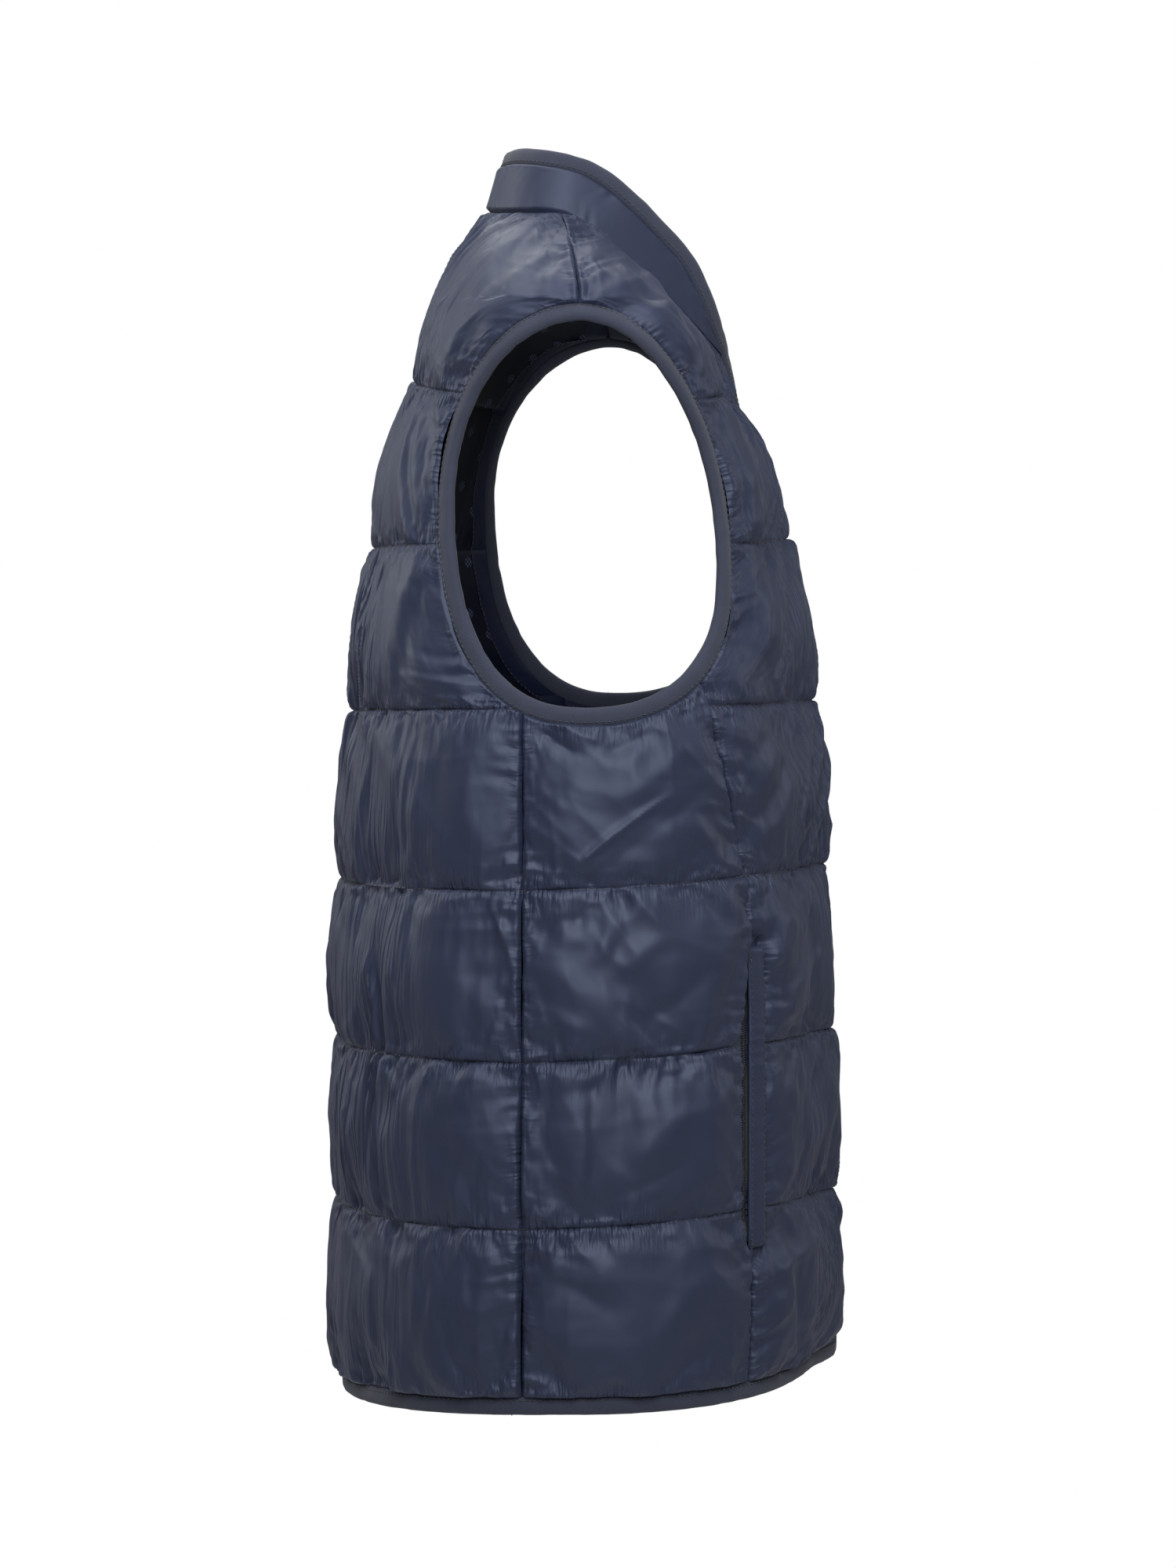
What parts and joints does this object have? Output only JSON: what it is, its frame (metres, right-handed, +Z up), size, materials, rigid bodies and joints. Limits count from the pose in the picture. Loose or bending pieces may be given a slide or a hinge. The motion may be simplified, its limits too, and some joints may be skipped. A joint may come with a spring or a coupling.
{
  "type": "quilted vest",
  "caption": "Padded sleeveless vest with horizontal quilting, stand collar tapering to a V neck, bound armholes and edges, side zip pockets and a lapped front.",
  "frame": {"origin": "midway between the shoulders, on the centre plane, at about the height of the armholes' tops, where the wearer's shoulders carry the vest", "axes": "+Z up, -Y the way the wearer faces, +X to the wearer's left"},
  "size_m": [0.4124, 0.2852, 0.6901],
  "materials": {
    "shell": "soft sheen",
    "lining": "satin",
    "binding": "matte",
    "zip": "satin",
    "stud": "satin"
  },
  "bodies": {
    "root": {"back": "shell", "front_right": "shell", "front_left": "shell", "side_right": "shell", "side_left": "shell", "collar": "shell", "lining_back": "lining", "lining_front_right": "lining", "lining_front_left": "lining", "lining_side_right": "lining", "lining_side_left": "lining", "binding_armhole_right": "binding", "binding_armhole_left": "binding", "binding_edge": "binding", "welt_right": "shell", "welt_left": "shell", "zip_right": "zip", "zip_left": "zip", "stud_1": "stud", "stud_2": "stud", "stud_3": "stud", "stud_4": "stud", "stud_5": "stud"}
  },
  "joints": []
}
